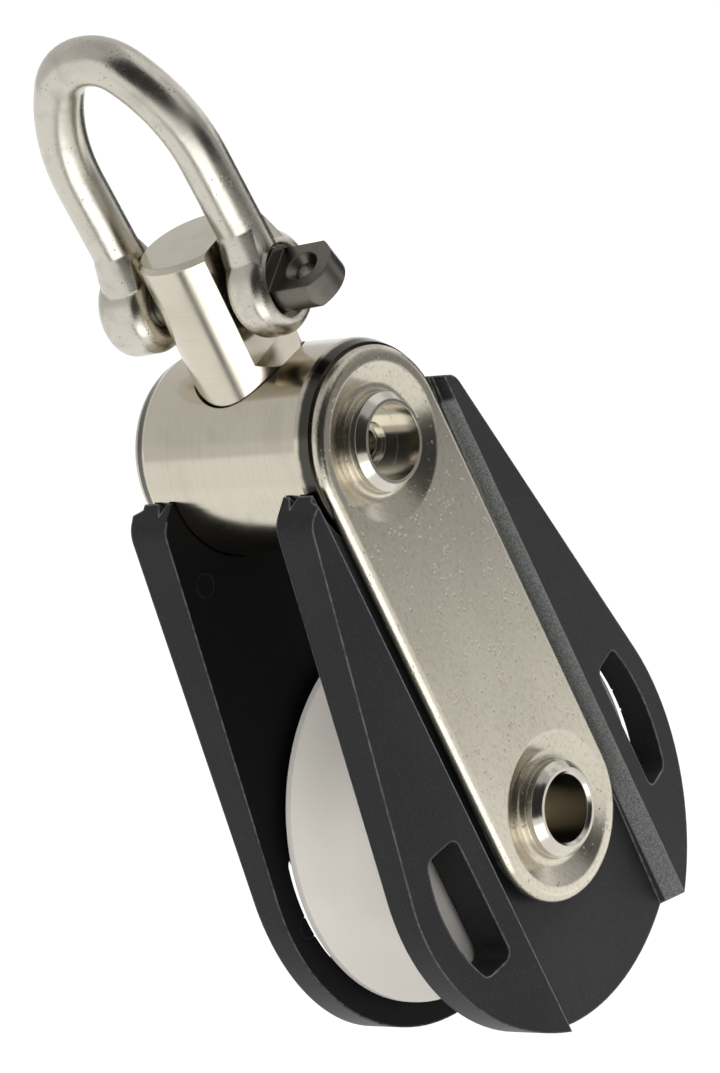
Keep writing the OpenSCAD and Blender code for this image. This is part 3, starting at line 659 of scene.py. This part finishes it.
class BLOCK_OT_studio(bpy.types.Operator):
    """Sets out the camera, the lamps, the cards and the floor"""
    bl_idname = "block.studio"
    bl_label = "Studio"

    def execute(self, context):
        studio = context.scene.block_studio
        self.camera(context, studio)
        self.world(context)
        self.floor(context, studio)
        for lamp in LAMPS:
            self.lamp(context, *lamp)
        for card in CARDS:
            self.card(context, *card)
        context.scene.view_settings.view_transform = "Standard"
        return {"FINISHED"}

    def camera(self, context, studio):
        """Puts the camera where the photograph was taken from."""
        back = toward(math.degrees(studio.azimuth) - 90, math.degrees(studio.elevation))
        data = bpy.data.cameras.new("photo camera")
        data.sensor_width, data.sensor_fit, data.lens = 36.0, "AUTO", studio.lens
        data.clip_start, data.clip_end = 0.01, 20
        camera = bpy.data.objects.new("photo camera", data)
        camera.rotation_mode = "QUATERNION"
        camera.location = LOOKS_AT + back * studio.distance
        roll = Quaternion((0, 0, 1), studio.roll)
        camera.rotation_quaternion = (-back).to_track_quat("-Z", "Y") @ roll
        context.collection.objects.link(camera)
        context.scene.camera = camera

    def world(self, context):
        """White where it is looked at, and a plain grey light elsewhere."""
        world = bpy.data.worlds.new("studio")
        world.use_nodes = True
        b = Builder(world.node_tree)
        b.tree.nodes.clear()
        cast, shown = (b.node("ShaderNodeBackground", None, grey(1.0), strength).outputs[0]
                       for strength in (CAST_LIGHT, 1.0))
        choice = b.add("ShaderNodeMixShader", None, b.seen(), cast, shown)
        b.node("ShaderNodeOutputWorld", None, choice)
        context.scene.world = world

    def floor(self, context, studio):
        """A pale floor under the hung block, which shows white and takes its shadow."""
        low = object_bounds()[0].z - studio.floor_drop
        corners = [(x * FLOOR_HALF, y * FLOOR_HALF, low)
                   for x, y in ((-1, -1), (1, -1), (1, 1), (-1, 1))]
        mesh = bpy.data.meshes.new("floor")
        mesh.from_pydata(corners, [], [(0, 1, 2, 3)])
        floor = bpy.data.objects.new("floor", mesh)
        context.collection.objects.link(floor)
        f = Finish("floor white", Base_Color=grey(0.85), Roughness=0.9)
        matt = f.shader.outputs[0]
        dark = f.node("ShaderNodeEmission", None, grey(0.0), 0.0).outputs[0]
        faint = f.node("ShaderNodeMixShader", None, FLOOR_SHADE, matt, dark).outputs[0]
        glow = f.node("ShaderNodeEmission", None, grey(1.0), FLOOR_GLOW).outputs[0]
        shown = f.node("ShaderNodeAddShader", None, faint, glow).outputs[0]
        choice = f.node("ShaderNodeMixShader", None, f.seen(), matt, shown)
        f.fill(f.tree.nodes["Material Output"].inputs["Surface"], choice.outputs[0])
        mesh.materials.append(f.material)
        floor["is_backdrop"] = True

    def lamp(self, context, name, azimuth, elevation, distance, wide, high, power, mirrored):
        """A softbox that faces the block."""
        data = bpy.data.lights.new(name, "AREA")
        data.shape, data.size, data.size_y, data.energy = "RECTANGLE", wide, high, power
        lamp = bpy.data.objects.new(name, data)
        lamp.visible_glossy = mirrored
        out = toward(azimuth, elevation)
        facing = (-out).to_track_quat("-Z", "Y").to_matrix().to_4x4()
        lamp.matrix_world = Matrix.Translation(MIDDLE + out * distance) @ facing
        context.collection.objects.link(lamp)

    def card(self, context, name, foot, head, distance, corners):
        """A card that glows with its own grey and is seen only in metal's reflections; it lights no
        matt surface and casts no shade.
        """
        rim = [MIDDLE + toward(*corner) * distance for corner in corners]
        hub = sum(rim, Vector()) / len(rim)
        count = len(rim)
        mesh = bpy.data.meshes.new(name)
        mesh.from_pydata([tuple(v) for v in (*rim, hub)], [],
                         [(i, (i + 1) % count, count) for i in range(count)])
        card = bpy.data.objects.new(name, mesh)
        context.collection.objects.link(card)
        f = Finish(name, Base_Color=grey(0.0), Specular_IOR_Level=0.0, Roughness=1.0,
                   Emission_Color=grey(foot), Emission_Strength=1.0)
        if head != foot:
            low, high = (pick(v.z for v in rim) / MM for pick in (min, max))
            rise = f.axes()[2].fade(low, high)
            f.put("Emission Color", f.blend(rise, grey(foot), grey(head)))
        mesh.materials.append(f.material)
        card.visible_camera = card.visible_diffuse = card.visible_shadow = False
        card.visible_transmission = card.visible_volume_scatter = False
        card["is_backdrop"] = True


class BLOCK_PT_parts(bpy.types.Panel):
    """Lists what the block is dressed with"""
    bl_label = "Swivel block"
    bl_idname = "BLOCK_PT_parts"
    bl_space_type = "VIEW_3D"
    bl_region_type = "UI"
    bl_category = "Block"

    def draw(self, context):
        for step in STEPS:
            self.layout.operator(step.bl_idname)
        for group in GROUPS:
            settings = getattr(context.scene, group)
            box = self.layout.box()
            for name in settings.__annotations__:
                box.prop(settings, name)


STEPS = (BLOCK_OT_finish_plates, BLOCK_OT_finish_drum, BLOCK_OT_finish_rivets,
         BLOCK_OT_finish_post, BLOCK_OT_finish_swivel, BLOCK_OT_finish_shackle,
         BLOCK_OT_pin_thread, BLOCK_OT_finish_cheeks, BLOCK_OT_finish_sheave, BLOCK_OT_studio)
GROUPS = {"block_steel": SteelSettings, "block_plastic": PlasticSettings,
          "block_thread": ThreadSettings, "block_studio": StudioSettings}


def register():
    for cls in (*GROUPS.values(), *STEPS, BLOCK_PT_parts):
        bpy.utils.register_class(cls)
    for name, group in GROUPS.items():
        setattr(bpy.types.Scene, name, PointerProperty(type=group))


def unregister():
    for name in GROUPS:
        delattr(bpy.types.Scene, name)
    for cls in (BLOCK_PT_parts, *reversed(STEPS), *GROUPS.values()):
        bpy.utils.unregister_class(cls)


def main():
    """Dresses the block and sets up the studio."""
    register()
    for step in STEPS:
        group, name = step.bl_idname.split(".")
        getattr(getattr(bpy.ops, group), name)()


if __name__ == "__main__":
    main()
